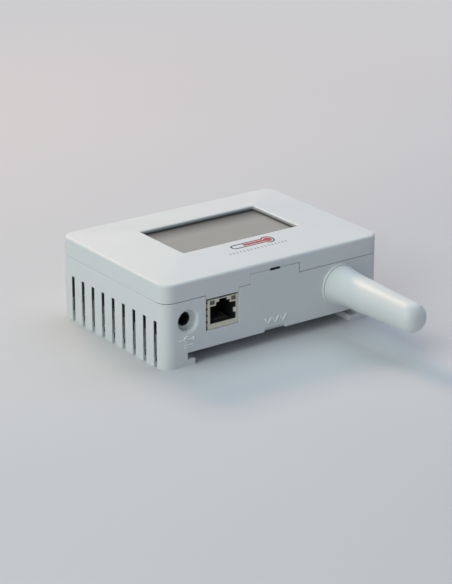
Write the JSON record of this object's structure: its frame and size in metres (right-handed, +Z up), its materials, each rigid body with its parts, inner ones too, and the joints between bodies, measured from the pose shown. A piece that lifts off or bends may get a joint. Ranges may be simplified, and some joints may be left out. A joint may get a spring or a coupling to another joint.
{
  "type": "ethernet thermometer",
  "caption": "Flat plastic case with a display window in its crowned cover, side vents, network and power sockets and a round sensor stem, made to slide on a wall bracket.",
  "frame": {"origin": "on the surface it lies on, under the middle of the case and stem together", "axes": "+X along the socket face, +Y from the socket face to the back, +Z up through the display"},
  "size_m": [0.118, 0.1394, 0.0408],
  "materials": {
    "case_plastic": "fine matt moulded texture",
    "stem_plastic": "smooth satin",
    "display_glass": "unlit reflective liquid crystal display behind a polariser",
    "dark_plastic": "plain moulded",
    "contact_rubber": "layered conductive rubber",
    "circuit_board": "glass-fibre laminate with a green mask",
    "screw_steel": "zinc plated",
    "shield_steel": "tinned sheet, satin",
    "contact_brass": "gold flashed",
    "green_lens": "clear green tint, unlit",
    "yellow_lens": "clear yellow tint, unlit",
    "chip_plastic": "moulded epoxy",
    "can_metal": "drawn can"
  },
  "bodies": {
    "root": {"rear_shell": "case_plastic", "front_cover": "case_plastic", "sensor_cap": "stem_plastic", "display_glass": "display_glass", "window_gasket": "dark_plastic", "display_frame": "dark_plastic", "link_socket": "dark_plastic", "link_collar": "dark_plastic", "sensor_header": "dark_plastic", "socket_insert": "dark_plastic", "jack_body": "dark_plastic", "contact_strips": "contact_rubber", "main_board": "circuit_board", "display_board": "circuit_board", "sensor_board": "circuit_board", "board_screws": "screw_steel", "display_screws": "screw_steel", "socket_shield": "shield_steel", "socket_contacts": "contact_brass", "link_pins": "contact_brass", "sensor_pins": "contact_brass", "jack_pin": "contact_brass", "jack_spring": "contact_brass", "green_light": "green_lens", "yellow_light": "yellow_lens", "network_chip": "chip_plastic", "processor": "chip_plastic", "sensor_chip": "chip_plastic", "power_coil": "chip_plastic", "crystal": "can_metal", "capacitors": "can_metal"}
  },
  "joints": []
}
